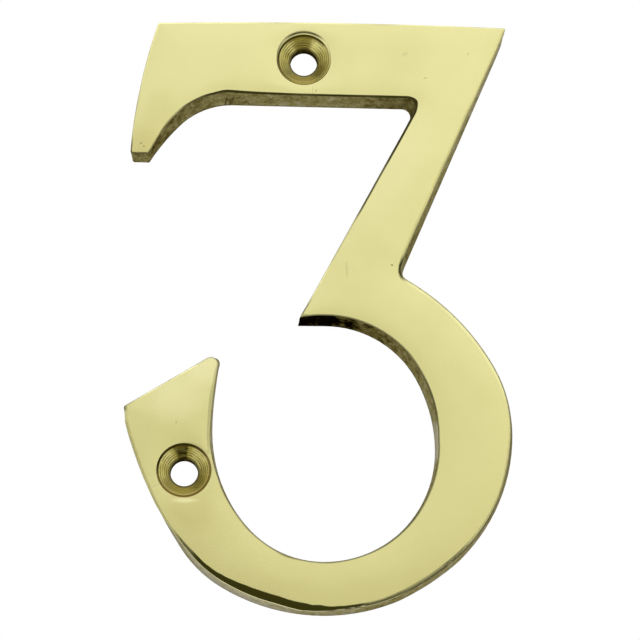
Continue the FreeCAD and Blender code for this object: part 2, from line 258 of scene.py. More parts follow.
@dataclass(frozen=True)
class FiledStretch:
    """A stretch of the outline that was filed by hand after casting.

    Each place has the pixels across and down at which the picture shows it, then how far the
    front moves there and how far the back moves, along X and Z in millimetres. The moves fade
    out over reach, which is in millimetres too. The higher the bite, the more the file kept to
    the front edge and left the wall under it alone.
    """

    places: tuple[tuple[float, ...], ...]
    reach: float
    bite: float = 1.5

    def moves(self, spots: np.ndarray, view: Viewpoint) -> tuple[np.ndarray, np.ndarray]:
        """How far each spot is from the stretch, and the moves at the nearest place on it.

        Args:
            spots: X and Z of each spot, in millimetres.
            view: The camera that took the picture.

        Returns:
            The distances, and a row of four for each spot.
        """
        nearest = np.full(len(spots), np.inf)
        moves = np.zeros((len(spots), 4))
        path = [np.array((*view.on_front(across, down), *moved))
                for across, down, *moved in self.places]
        for start, finish in zip(path, path[1:]):
            run = finish - start
            share = np.clip((spots - start[:2]) @ run[:2] / (run[:2] @ run[:2]), 0, 1)[:, None]
            gap = np.linalg.norm(spots - start[:2] - share * run[:2], axis=1)
            closer = gap < nearest
            nearest[closer] = gap[closer]
            moves[closer] = (start[2:] + share * run[2:])[closer]
        return nearest, moves


FILED = (
    # Underside of the bar, from the serif through the throat to the inner corner
    FiledStretch((
        (156, 143, 0, 0, 0, 0), (166, 129, -0.25, 0.24, 0, 0), (174, 118, -0.3, 0.34, 0, 0),
        (185, 108, -0.24, 0.4, 0, 0), (192, 104.5, -0.18, 0.42, 0, 0),
        (203, 99, -0.08, 0.5, 0, 0), (214, 96, 0, 0.5, 0, 0), (225, 94, 0, 0.6, 0, 0),
        (240, 94, 0, 0.46, 0, 0), (255, 94.5, 0, 0.4, 0, 0), (300, 96.5, 0, 0.29, 0, 0),
        (350, 98, 0, 0.29, 0, 0), (395, 99.5, 0, 0.29, 0, 0), (408, 100, 0.1, 0.29, 0, 0),
        (416, 103, 0.24, 0.34, 0, 0), (416, 110, -0.04, 0.04, 0, 0), (411, 120, -0.04, 0, 0, 0),
        (405, 132, 0, 0, 0, 0),
    ), reach=1.8),
    # Beak, and the upper inside of the bowl from there
    FiledStretch((
        (299, 319, 0, 0, 0, 0), (306, 318.5, 0, 0.22, 0, 0), (315, 318.5, 0, 0.34, 0, 0),
        (330, 318.6, 0.03, 0.38, 0, 0), (350, 321, 0.06, 0.38, 0, 0.03),
        (370, 329, 0.16, 0.38, 0.03, 0.03), (390, 341, 0.25, 0.3, 0.03, 0.03),
        (405, 353, 0.3, 0.25, 0.03, 0.03), (420, 372, 0.28, 0.12, 0.03, 0),
        (430, 390, 0.28, 0.07, 0, 0), (436, 405, 0.24, 0.03, 0, 0), (439, 425, 0.1, 0, 0, 0),
    ), reach=1.9),
    # Tip of the beak
    FiledStretch((
        (299, 320, -0.04, 0.02, 0.36, 0), (306, 306, -0.04, 0, 0.2, 0), (318, 287, 0, 0, 0, 0),
    ), reach=1.6),
    # Foot of the serif
    FiledStretch((
        (146, 152, 0.16, 0, 0, 0), (148, 150, 0.16, -0.04, 0, 0),
    ), reach=1.3),
    # Left side of the serif
    FiledStretch((
        (132, 153, -0.14, 0, 0.38, 0.03), (132, 130, -0.12, 0, 0.3, 0),
        (135, 105, -0.05, 0, 0.1, 0), (139, 85, 0, 0, 0, 0),
    ), reach=2.4),
    # Left flank of the bowl
    FiledStretch((
        (137, 450, 0, 0, 0, 0), (146, 470, -0.1, -0.05, 0, 0), (160, 500, -0.3, -0.15, 0, 0),
        (170, 518, -0.5, -0.28, 0, 0), (178, 530, -0.45, -0.25, 0, 0),
        (185, 541, -0.2, -0.1, 0, 0), (192, 550, 0, 0, 0, 0),
    ), reach=1.6, bite=6.0),
    # Left corner, and the flank under it
    FiledStretch((
        (123, 403, 0, 0, 0.4, 0), (126, 410, -0.1, -0.06, 0.36, 0),
        (129, 420, -0.36, -0.15, 0.12, 0), (134, 437, -0.42, -0.18, 0.04, 0),
        (146, 470, -0.42, -0.2, 0.02, 0), (160, 500, -0.36, -0.17, 0.02, 0),
        (175, 530, 0, 0, 0, 0),
    ), reach=2.6, bite=1.0),
    # Bottom of the bowl
    FiledStretch((
        (275, 600, 0, 0, 0, 0), (288, 603, 0, -0.25, 0, 0), (300, 606, 0, -0.5, 0, 0),
        (315, 608, 0, -0.4, 0, 0), (330, 608, 0, -0.28, 0, 0), (350, 607, 0, -0.2, 0, 0),
        (380, 601, 0.05, -0.25, 0, 0), (400, 594, 0.05, -0.15, 0, 0), (420, 584, 0, 0, 0, 0),
    ), reach=1.6, bite=6.0),
    # Lower right of the bowl
    FiledStretch((
        (400, 598, 0, 0, 0, 0), (415, 592, 0, 0, -0.05, 0.07), (430, 583, 0, 0, -0.07, 0.09),
        (445, 571, 0, 0, -0.06, 0.07), (460, 555, 0.1, -0.1, 0, 0),
        (475, 538, 0.2, -0.15, 0, 0), (487, 518, 0.27, -0.12, 0, 0),
        (495, 495, 0.27, -0.05, 0, 0), (500, 470, 0.15, 0, 0, 0), (504, 450, 0, 0, 0, 0),
    ), reach=1.8, bite=6.0),
    # Right side of the diagonal
    FiledStretch((
        (504, 30, 0.4, 0, -0.14, 0), (500, 42, 0.4, -0.03, -0.03, 0),
        (494, 50, 0.4, -0.05, 0, 0), (483, 75, 0.38, 0, 0, 0),
        (472, 100, 0.32, 0, 0, 0), (455, 140, 0.2, 0, 0, 0), (430, 195, 0.08, 0, 0, 0),
        (415, 225, 0, 0, 0, 0),
    ), reach=1.6, bite=6.0),
    # Notch
    FiledStretch((
        (402, 259, 0.1, 0, 0, 0), (396, 268, 0.25, 0.06, 0.2, 0.05),
        (399, 274, 0.16, 0.04, 0.2, 0.05), (403, 280, 0.05, 0, 0.1, 0.02),
    ), reach=1.2),
    # Tip of the terminal
    FiledStretch((
        (212, 356, 0.02, 0.06, -0.14, -0.02), (218, 363, 0.1, 0.04, -0.28, -0.04),
        (214, 380, 0.2, 0, -0.12, 0), (211, 400, 0.22, 0, -0.06, 0),
        (210, 420, 0.16, 0, -0.04, 0), (211, 445, 0, 0, 0, 0),
    ), reach=3.0),
)


@dataclass
class Paintbox:
    """A material under way: its tree, its shader and the colour and height made so far."""

    material: bpy.types.Material
    tree: bpy.types.NodeTree
    shader: bpy.types.Node
    place: bpy.types.NodeSocket
    normal: bpy.types.NodeSocket
    colour: bpy.types.NodeSocket | None = None
    height: bpy.types.NodeSocket | None = None
    matt_mask: bpy.types.NodeSocket | None = None

    @classmethod
    def open(cls, name: str, **levels: float) -> Paintbox:
        """Starts a material.

        Args:
            name: The material's name.
            **levels: The shader's settings, by name with underscores for spaces.

        Returns:
            The paintbox.
        """
        material = bpy.data.materials.new(name)
        material.use_nodes = True
        tree = material.node_tree
        tree.nodes.clear()
        shader = add_node(tree, "BsdfPrincipled", **levels)
        add_node(tree, "OutputMaterial", Surface=shader.outputs["BSDF"])
        coordinates = add_node(tree, "TexCoord")
        return cls(material, tree, shader, coordinates.outputs["Object"],
                   coordinates.outputs["Normal"])

    def noise(self, size_mm: float, detail: float = 2.0, roughness: float = 0.5,
              place: bpy.types.NodeSocket | None = None, distortion: float = 0.0
              ) -> bpy.types.NodeSocket:
        """A cloudy pattern about half way between nought and one.

        Args:
            size_mm: The width of its largest features.
            detail: How many finer layers it has.
            roughness: How strong the finer layers are.
            place: The coordinates to read, where not the object's own.
            distortion: How far the pattern is swirled.

        Returns:
            The pattern's socket.
        """
        node = add_node(self.tree, "TexNoise", Vector=place or self.place,
                        Scale=per_metre(size_mm), Detail=detail, Roughness=roughness,
                        Distortion=distortion)
        return node.outputs["Fac"]

    def ramp(self, value: bpy.types.NodeSocket, start: float, end: float,
             low: float = 0.0, high: float = 1.0, smooth: bool = True) -> bpy.types.NodeSocket:
        """Turns the part of a value between start and end into low to high.

        Args:
            value: The socket that is read.
            start: The value that gives low.
            end: The value that gives high.
            low: The result at and before the start.
            high: The result at and past the end.
            smooth: Whether the ends are eased.

        Returns:
            The result's socket.
        """
        kind = "SMOOTHSTEP" if smooth else "LINEAR"
        node = add_node(self.tree, "MapRange", {"interpolation_type": kind}, Value=value,
                        From_Min=start, From_Max=end, To_Min=low, To_Max=high)
        return node.outputs["Result"]

    def maths(self, operation: str, first: Any, second: Any = 0.0) -> bpy.types.NodeSocket:
        """The result of a maths operation on one or two values or sockets."""
        node = add_node(self.tree, "Math", {"operation": operation}, i0=first, i1=second)
        return node.outputs["Value"]

    def attribute(self, name: str) -> bpy.types.NodeSocket:
        """The value that the mesh keeps under a name at each place."""
        return add_node(self.tree, "Attribute", {"attribute_name": name}).outputs["Fac"]

    def times(self, *masks: Any) -> bpy.types.NodeSocket:
        """Multiplies masks.

        Args:
            *masks: Sockets or numbers, with a socket among the first two.

        Returns:
            The product's socket.
        """
        product = masks[0]
        for mask in masks[1:]:
            product = self.maths("MULTIPLY", product, mask)
        return product

    def spot(self, middle: tuple[float, float], reach: tuple[float, float], turn: float = 0.0
             ) -> bpy.types.NodeSocket:
        """A soft oval mask on the front.

        Args:
            middle: X and Z of its middle, in millimetres.
            reach: How far it goes along and across, in millimetres.
            turn: How far it is turned from level, anticlockwise, in degrees.

        Returns:
            The mask's socket.
        """
        laid = add_node(self.tree, "Mapping", {"vector_type": "TEXTURE"}, Vector=self.place,
                        Location=(middle[0] * MM, 0, middle[1] * MM),
                        Rotation=(0, -math.radians(turn), 0),
                        Scale=(reach[0] * MM, 1, reach[1] * MM))
        flat = add_node(self.tree, "VectorMath", {"operation": "MULTIPLY"},
                        i0=laid.outputs["Vector"], i1=(1.0, 0.0, 1.0))
        length = add_node(self.tree, "VectorMath", {"operation": "LENGTH"},
                          i0=flat.outputs["Vector"])
        return self.ramp(length.outputs["Value"], 1.0, 0.2)

    def facing(self, direction: tuple[float, float, float], start: float, end: float
               ) -> bpy.types.NodeSocket:
        """How far the surface faces a direction, from nought at start to one at end.

        Args:
            direction: The direction in the numeral's own frame.
            start: The cosine that gives nought.
            end: The cosine that gives one.

        Returns:
            The mask's socket.
        """
        towards = Vector(direction).normalized()
        dot = add_node(self.tree, "VectorMath", {"operation": "DOT_PRODUCT"}, i0=self.normal,
                       i1=tuple(towards))
        return self.ramp(dot.outputs["Value"], start, end)

    def tint(self, hex_colour: str, mask: Any = 1.0) -> None:
        """Lays a colour over the colour made so far.

        Args:
            hex_colour: The new colour.
            mask: How much of it shows, as a number or a socket.
        """
        if self.colour is None:
            base = add_node(self.tree, "RGB")
            base.outputs[0].default_value = linear(hex_colour)
            self.colour = base.outputs[0]
            return
        node = add_node(self.tree, "Mix", {"data_type": "RGBA"}, i0=mask, i6=self.colour,
                        i7=linear(hex_colour))
        self.colour = node.outputs[2]

    def lay_matt_colour(self, hex_colour: str, mask: bpy.types.NodeSocket) -> None:
        """Lays a matt colour over the metal, which takes its shine as well as its colour: a real
        skin on the brass in some places, painted shade and reflection in others.

        Args:
            hex_colour: The colour laid.
            mask: Where it lies.
        """
        self.tint(hex_colour, mask)
        self.matt_mask = mask if self.matt_mask is None else self.maths("MAXIMUM", self.matt_mask, mask)

    def raise_by(self, pattern: bpy.types.NodeSocket, depth_mm: float) -> None:
        """Adds a pattern to the height of the surface.

        Args:
            pattern: The pattern, from nought to one.
            depth_mm: How high one stands above nought.
        """
        scaled = self.maths("MULTIPLY", pattern, depth_mm * MM)
        self.height = scaled if self.height is None else self.maths("ADD", self.height, scaled)

    def close(self) -> bpy.types.Material:
        """Ties the colour and the height to the shader.

        Returns:
            The finished material.
        """
        self.tree.links.new(self.colour, self.shader.inputs["Base Color"])
        if self.matt_mask is not None:
            metal = self.maths("SUBTRACT", 1.0, self.matt_mask)
            self.tree.links.new(metal, self.shader.inputs["Metallic"])
        if self.height is not None:
            bump = add_node(self.tree, "Bump", Height=self.height, Strength=1.0, Distance=1.0)
            self.tree.links.new(bump.outputs["Normal"], self.shader.inputs["Normal"])
        return self.material


@dataclass(frozen=True)
class BuffedBrass:
    """The front: sand-cast yellow brass, buffed bright and sprayed with clear lacquer.

    To the eye it is a pale greenish gold, nearly even, with a soft sheen rather than a mirror.
    An olive line of painted dark reflection runs along the rounded edge.
    """

    name: str = "lacquered_buffed_brass"
    metal: str = "F0EBAB"
    shade: str = "D8CF8A"
    light: str = "FFFAC4"
    # Olive: the painted dark reflection on the rounded edge, and the dark ring the cutter left
    dark_reflection_and_tarnish: str = "35320A"
    # Umber: pits and scratches, and the painted dark reflection on the outer half of the edge
    umber: str = "4E4932"
    roughness: float = 0.23
    lacquer: float = 0.1
    lacquer_roughness: float = 0.12
    cloud_mm: float = 9.0
    # Real buffing lines are under a tenth of a millimetre, so they are drawn coarser to show
    grain_mm: float = 0.35
    ripple_mm: float = 4.0
    ripple_depth_mm: float = 0.006
    # How far the painted dark reflection wanders as it creeps on to the front, and the soft width
    # of its border
    wander_mm: float = 0.03
    border_mm: tuple[float, float] = (0.06, -0.05)
    # The ring where the cutter first touched: its radius and how high it sits over the hole,
    # where its line starts, is full, starts to fade and ends, and the heights it fades in at
    touch_radius: float = COUNTERSINK_RADIUS_MM
    touch_rise: float = 0.22
    touch_line: tuple[float, ...] = (-0.24, -0.12, 0.06, 0.16)
    touch_heights: tuple[float, float] = (2.3, 3.4)
    # Broad tones of painted shade and painted highlight: X, Z, half length and half width in
    # millimetres, turn in degrees, and strength, which is below nought for painted shade and
    # above it for a painted highlight
    tones: tuple[tuple[float, ...], ...] = (
        (-20.2, -11.8, 3.4, 4.6, 0, -0.7),
        (-18.2, -7.0, 3.0, 4.0, 0, -0.3),
        (-13.8, -58.0, 5.0, 4.0, -55, -0.4),
        (-11.9, -40.4, 3.6, 3.0, 30, 0.8),
        (-15.2, -44.0, 5.0, 4.0, 30, 0.6),
        (11.5, -15.0, 10.0, 5.0, 64, 0.25),
        (-14.3, -57.05, 2.2, 0.4, 0, 0.9),
    )
    # Pits, scratches and dull places, in the same form
    blemishes: tuple[tuple[float, ...], ...] = (
        (-20.46, -11.35, 0.18, 0.13, 0, 0.75),
        (-20.1, -11.75, 0.16, 0.12, 0, 0.8),
        (11.15, -27.0, 0.2, 0.16, 0, 0.8),
        (5.5, -27.6, 1.6, 0.22, 92, 0.14),
        (12.84, 0.76, 0.6, 0.4, 20, 0.10),
        (15.4, -2.42, 0.35, 0.12, 15, 0.35),
        (20.85, 0.84, 0.12, 0.3, 0, 0.25),
        (-15.5, -47.25, 0.16, 0.3, 10, 0.25),
        (-10.1, -4.45, 0.35, 0.16, -50, 0.9),
        (1.55, -4.2, 0.10, 0.3, 5, 0.5),
        (1.15, -4.2, 0.08, 0.9, 3, 0.2),
    )

    def make(self) -> bpy.types.Material:
        """Builds the material.

        Returns:
            The material.
        """
        box = Paintbox.open(self.name, Metallic=1.0, Roughness=self.roughness,
                            Specular_IOR_Level=0.0, Coat_Weight=self.lacquer,
                            Coat_Roughness=self.lacquer_roughness)
        box.tint(self.metal)

        # Uneven buffing: broad clouds and a fine grain, both faint
        cloud = box.ramp(box.noise(self.cloud_mm, detail=3), 0.35, 0.75, 0.0, 0.22)
        box.tint(self.shade, cloud)
        grain = box.ramp(box.noise(self.grain_mm, detail=3, roughness=0.6), 0.45, 0.8, 0.0, 0.08)
        box.tint(self.shade, grain)
        self.mark(box)
        self.paint_edge_reflection(box)

        box.raise_by(box.noise(self.ripple_mm, detail=1), self.ripple_depth_mm)
        return box.close()

    def paint_edge_reflection(self, box: Paintbox) -> None:
        """Paints a dark reflection on the rounded edge, olive on its inner half and umber on its
        outer half.

        Args:
            box: The material under way.
        """
        tilt = add_node(box.tree, "VectorMath", {"operation": "DOT_PRODUCT"}, i0=box.normal,
                        i1=(0.0, -1.0, 0.0)).outputs["Value"]
        patchy = box.ramp(box.noise(0.7, detail=3, roughness=0.65), 0.3, 0.5, 0.85, 1.0)
        # A tilt of one is flat, and the rounding's inner half ends at about 0.6
        inner = box.times(box.ramp(tilt, 0.998, 0.985), box.ramp(tilt, 0.50, 0.66))
        wander = box.ramp(box.noise(2.0, detail=3), 0.3, 0.7, -self.wander_mm * MM,
                          self.wander_mm * MM, smooth=False)
        creep = box.maths("MULTIPLY", box.attribute("edge_creep"), MM)
        gap = box.maths("SUBTRACT", box.attribute(RIM_ATTRIBUTE), creep)
        gap = box.maths("ADD", gap, box.times(wander, box.attribute("edge_creep"), 2.0))
        crept = box.ramp(gap, self.border_mm[0] * MM, self.border_mm[1] * MM)
        covered = box.maths("MAXIMUM", inner, box.times(crept, box.ramp(tilt, 0.975, 0.985)))
        # Painted dark reflection on the inner half of the rounding, crept on to the front where
        # the notes say
        box.lay_matt_colour(self.dark_reflection_and_tarnish, box.times(covered, box.attribute("edge_shadow")))
        # Painted dark reflection as an umber line on the outer half of the rounding
        outer = box.ramp(tilt, 0.985, 0.75)
        box.lay_matt_colour(self.umber, box.times(outer, patchy, box.attribute("edge_line")))

    def mark(self, box: Paintbox) -> None:
        """Puts painted shade and painted highlights on the front, and the pits, scratches, dull
        places and cutter's ring of this casting.

        Args:
            box: The material under way.
        """
        # The broad tones: painted shade where the strength is below nought, painted highlight
        # above it
        for x, z, along, across, turn, strength in self.tones:
            colour = self.shade if strength < 0 else self.light
            box.tint(colour, box.times(box.spot((x, z), (along, across), turn), abs(strength)))
        for x, z, along, across, turn, strength in self.blemishes:
            box.tint(self.umber, box.times(box.spot((x, z), (along, across), turn), strength))

        # Where the countersink cutter first touched, its ring was left in the front
        ring = nearest_radius(box, (Vector((0, 0, self.touch_rise)) * MM,))
        start, full, fade, end = ((self.touch_radius + gap) * MM for gap in self.touch_line)
        line = box.times(box.ramp(ring, start, full), box.ramp(ring, end, fade))
        height = add_node(box.tree, "SeparateXYZ", Vector=box.place).outputs["Z"]
        upper = box.ramp(height, *(level * MM for level in self.touch_heights))
        box.lay_matt_colour(self.dark_reflection_and_tarnish, box.times(line, upper, 0.9))


@dataclass(frozen=True)
class CastBrass:
    """The walls: brass as it left the sand, brushed clean and lacquered.

    To the eye it is a grey tan, grainy at half a millimetre, with dark flecks scorched in by the
    sand.
    """

    name: str = "sand_cast_brass"
    clean: str = "AAA48A"
    dull: str = "80784A"
    dirty_and_shaded: str = "544A22"
    skin_shade: str = "86806C"
    black_dirt_and_shade: str = "070401"
    fleck_and_shadow: str = "332A12"
    bright: str = "B8AE84"
    roughness: float = 0.6
    skin: float = 0.8
    # Moulding sand is finer, at 0.2 to 0.3 mm, and is drawn coarser to show
    grain_mm: float = 0.55
    grain_depth_mm: float = 0.11
    # Scratches: X, Z, half length and half width in millimetres, turn in degrees, and strength
    scars: tuple[tuple[float, ...], ...] = (
        (-9.9, -5.2, 0.75, 0.14, 62, 0.8),
        (-9.4, -5.3, 0.65, 0.12, 70, 0.7),
        (-9.0, -5.0, 0.45, 0.14, 40, 0.6),
    )

    def make(self) -> bpy.types.Material:
        """Builds the material.

        Returns:
            The material.
        """
        box = Paintbox.open(self.name, Roughness=self.roughness, Specular_IOR_Level=0.0)
        spread = box.ramp(box.noise(1.1, detail=4, roughness=0.65), 0.3, 0.7, -0.22, 0.22,
                          smooth=False)
        # The wall figure from the edge notes holds both the sand's grime and painted shade: it is
        # highest under the beak, in the upper inside of the bowl and in the inside corner, where
        # the walls lie in shade
        dirt_and_shade = box.maths("ADD", box.attribute("wall_dirt_and_shade"), spread)
        box.matt_mask = box.ramp(dirt_and_shade, 0.0, 0.6, self.skin, 1.0)
        box.tint(self.clean)
        box.tint(self.dull, box.ramp(dirt_and_shade, 0.1, 0.45))
        box.tint(self.dirty_and_shaded, box.ramp(dirt_and_shade, 0.4, 0.8))
        # Near black where that figure is highest, under the beak: painted shade with the sand's
        # grime
        box.tint(self.black_dirt_and_shade, box.ramp(dirt_and_shade, 0.72, 0.92))
        box.tint(self.fleck_and_shadow, box.times(box.ramp(
            box.noise(0.6, detail=3, roughness=0.75, distortion=0.5), 0.52, 0.66, 0, 0.5),
            box.ramp(dirt_and_shade, 0.1, 0.6), box.ramp(dirt_and_shade, 0.95, 0.8)))
        box.tint(self.bright, box.times(box.ramp(
            box.noise(0.45, detail=3, roughness=0.75, distortion=0.4), 0.54, 0.68, 0, 0.45),
            box.ramp(dirt_and_shade, 0.80, 0.55)))

        # Painted shade greys the wall towards the back, and a painted contact shadow lies as a
        # dark line along the back edge
        depth = add_node(box.tree, "SeparateXYZ", Vector=box.place).outputs["Y"]
        box.tint(self.skin_shade, box.times(box.ramp(depth, -2.4 * MM, -0.6 * MM), 0.5,
                                            box.ramp(dirt_and_shade, 0.5, 0.2)))
        box.tint(self.fleck_and_shadow, box.times(box.ramp(depth, -0.3 * MM, -0.05 * MM), 0.6))
        for x, z, along, across, turn, strength in self.scars:
            box.tint(self.fleck_and_shadow, box.times(box.spot((x, z), (along, across), turn), strength))
        box.raise_by(box.noise(self.grain_mm, detail=4, roughness=0.65), self.grain_depth_mm)
        return box.close()


@dataclass(frozen=True)
class TurnedBrass:
    """A countersink: brass turned with a chattering cutter, and never buffed.

    To the eye it is a deeper olive gold than the front, with fine uneven rings, a dark line
    round its rim and a deep shadow under its upper edge.
    """

    name: str = "turned_brass"
    metal: str = "E6DE92"
    deep: str = "9C8C20"
    ring: str = "6C6014"
    foot: str = "B49C26"
    shadow: str = "221A04"
    lip: str = "463C08"
    rim_brown: str = "5E4010"
    pale: str = "ECE29C"
    roughness: float = 0.3
    # A cutter's rings are about a tenth of a millimetre apart, and are drawn coarser to show
    pitch_mm: float = 0.24
    ring_depth_mm: float = 0.014
    streak: float = 0.25
    rim_mm: float = COUNTERSINK_RADIUS_MM
    throat_mm: float = BORE_RADIUS_MM

    def make(self, axes: tuple[Vector, ...]) -> bpy.types.Material:
        """Builds the material.

        Args:
            axes: The middle of each hole.

        Returns:
            The material.
        """
        box = Paintbox.open(self.name, Metallic=1.0, Roughness=self.roughness,
                            Specular_IOR_Level=0.0)
        radius = nearest_radius(box, axes)
        wobble = box.ramp(box.noise(2.2, detail=2), 0.2, 0.8, -0.08, 0.08, smooth=False)
        turns = box.maths("ADD", box.maths("MULTIPLY", radius, per_metre(self.pitch_mm)), wobble)
        rings = box.ramp(box.maths("SINE", box.maths("MULTIPLY", turns, 2 * math.pi)), -1, 1)
        uneven = box.ramp(box.noise(1.3, detail=3), 0.35, 0.65)
        box.tint(self.metal)

        # Painted reflection: the cone is darker above and low on the right, and golden at its
        # foot, by the way each part of it faces
        box.tint(self.deep, box.times(box.facing((0.1, -0.5, 1.0), 0.3, 1.0), 0.55))
        box.tint(self.deep, box.times(box.facing((-1.0, -0.8, 0.7), 0.78, 1.0), 0.8))
        box.tint(self.deep, box.times(box.facing((0.1, -0.8, -1.0), 0.86, 0.99), 0.8))
        box.lay_matt_colour(self.foot, box.times(box.facing((0.1, -0.8, 1.0), 0.80, 0.98), 0.5))
        box.tint(self.ring, box.times(rings, uneven, 0.65))
        box.tint(self.pale, box.times(box.ramp(rings, 0.3, 0.0), uneven, 0.35))

        # Streaked shadow under the upper edge, as a wedge in the lower hole
        drawn = add_node(box.tree, "Mapping", Vector=box.place, Scale=(self.streak, 1.0, 1.0))
        streak = box.ramp(box.noise(0.3, detail=2, place=drawn.outputs["Vector"]),
                          0.35, 0.65, 0.75, 1.0)
        height = add_node(box.tree, "SeparateXYZ", Vector=box.place).outputs["Z"]
        lower = box.ramp(height, -20 * MM, -30 * MM)
        wedge = box.times(box.facing((0.08, -0.70, -0.70), 0.960, 0.995), lower)
        brow = box.times(box.facing((0.05, -0.70, -0.71), 0.90, 0.99),
                         box.maths("SUBTRACT", 1.0, lower), 0.5)
        banded = box.ramp(rings, 0.0, 1.0, 1.0, 0.85)
        box.lay_matt_colour(self.shadow, box.times(box.maths("MAXIMUM", wedge, brow), streak, banded))

        # Where the cone meets the front and the bore: a painted highlight just inside the rim, a
        # brown line along the rim, a painted shadow line and painted shade under the upper edge,
        # and painted shade at the throat
        edge = box.ramp(radius, (self.rim_mm - 0.32) * MM, (self.rim_mm - 0.2) * MM)
        lip = box.ramp(radius, (self.rim_mm - 0.5) * MM, (self.rim_mm - 0.28) * MM)
        # Painted highlight just inside the rim
        inside = box.times(box.ramp(radius, (self.rim_mm - 0.60) * MM, (self.rim_mm - 0.46) * MM),
                           box.ramp(radius, (self.rim_mm - 0.30) * MM, (self.rim_mm - 0.4) * MM))
        box.tint(self.pale, box.times(inside, box.facing((-0.2, -0.7, 1.0), 0.3, 0.9), 0.4))
        brown_places = box.maths("MAXIMUM", lower, box.facing((0.6, -0.7, -0.6), 0.2, 0.6))
        box.lay_matt_colour(self.rim_brown, box.times(edge, brown_places, 0.8))
        # Painted shadow line along the upper part of the rim
        upper = box.facing((0.5, -0.5, -1.0), 0.30, 0.75)
        box.lay_matt_colour(self.shadow, box.times(edge, upper, 0.95))
        # Painted shade under the upper edge
        over = box.times(box.facing((0.0, -0.7, -0.7), 0.70, 0.90),
                         box.maths("SUBTRACT", 0.9, box.times(lower, 0.5)))
        box.lay_matt_colour(self.lip, box.times(lip, over))
        # Painted shade where the cone meets the bore
        throat = box.ramp(radius, (self.throat_mm + 0.3) * MM, (self.throat_mm + 0.1) * MM)
        box.lay_matt_colour(self.shadow, box.times(throat, 0.8))
        box.raise_by(rings, self.ring_depth_mm)
        box.raise_by(box.noise(0.5, detail=3), 0.012)
        return box.close()


@dataclass(frozen=True)
class DrilledBrass:
    """A screw hole's bore: brass as the drill left it, in shadow and never buffed."""

    name: str = "drilled_brass"
    # The bore's colours are darkened with painted shade, for the shade deep in the hole
    metal: str = "5E501C"
    dark: str = "241A06"
    roughness: float = 0.4
    drag_mm: float = 0.3
    drag_depth_mm: float = 0.02

    def make(self) -> bpy.types.Material:
        """Builds the material.

        Returns:
            The material.
        """
        box = Paintbox.open(self.name, Metallic=0.0, Roughness=self.roughness,
                            Specular_IOR_Level=0.0)
        box.tint(self.metal)
        box.tint(self.dark, box.ramp(box.noise(0.5, detail=3), 0.3, 0.55, 0.4, 1.0))
        box.raise_by(box.noise(self.drag_mm, detail=2), self.drag_depth_mm)
        return box.close()


@dataclass(frozen=True)
class GroundBrass:
    """The back: brass rubbed flat on a coarse belt, dull, with straight scratches."""

    name: str = "ground_brass"
    metal: str = "CFC486"
    shade: str = "9C935F"
    roughness: float = 0.42
    # A belt's scratches are about a tenth of a millimetre wide, and are drawn coarser to show
    scratch_mm: float = 0.22
    scratch_depth_mm: float = 0.012
    stretch: float = 40.0

    def make(self) -> bpy.types.Material:
        """Builds the material.

        Returns:
            The material.
        """
        box = Paintbox.open(self.name, Metallic=1.0, Roughness=self.roughness)
        drawn = add_node(box.tree, "Mapping", Vector=box.place,
                         Scale=(1.0, 1.0, 1 / self.stretch))
        scratches = box.noise(self.scratch_mm, detail=2, place=drawn.outputs["Vector"])
        box.tint(self.metal)
        box.tint(self.shade, box.ramp(scratches, 0.45, 0.7, 0.0, 0.7))
        box.tint(self.shade, box.ramp(box.noise(7.0, detail=4), 0.4, 0.7, 0.0, 0.5))
        box.raise_by(scratches, self.scratch_depth_mm)
        return box.close()


def nearest_radius(box: Paintbox, axes: tuple[Vector, ...]) -> bpy.types.NodeSocket:
    """How far a place is from the nearest of some holes, in metres.

    Args:
        box: The material under way.
        axes: The middle of each hole.

    Returns:
        The distance's socket.
    """
    nearest = None
    for axis in axes:
        across = add_node(box.tree, "VectorMath", {"operation": "MULTIPLY"}, i0=box.place,
                          i1=(1.0, 0.0, 1.0))
        gap = add_node(box.tree, "VectorMath", {"operation": "DISTANCE"},
                       i0=across.outputs["Vector"], i1=(axis.x, 0.0, axis.z))
        radius = gap.outputs["Value"]
        nearest = radius if nearest is None else box.maths("MINIMUM", nearest, radius)
    return nearest


def read_places(data: bpy.types.Mesh) -> np.ndarray:
    """Reads the place of every vertex of a mesh.

    Args:
        data: The mesh.

    Returns:
        One row for each vertex, in metres.
    """
    flat = np.empty(len(data.vertices) * 3, dtype=np.float32)
    data.vertices.foreach_get("co", flat)
    return flat.reshape(-1, 3).astype(float)


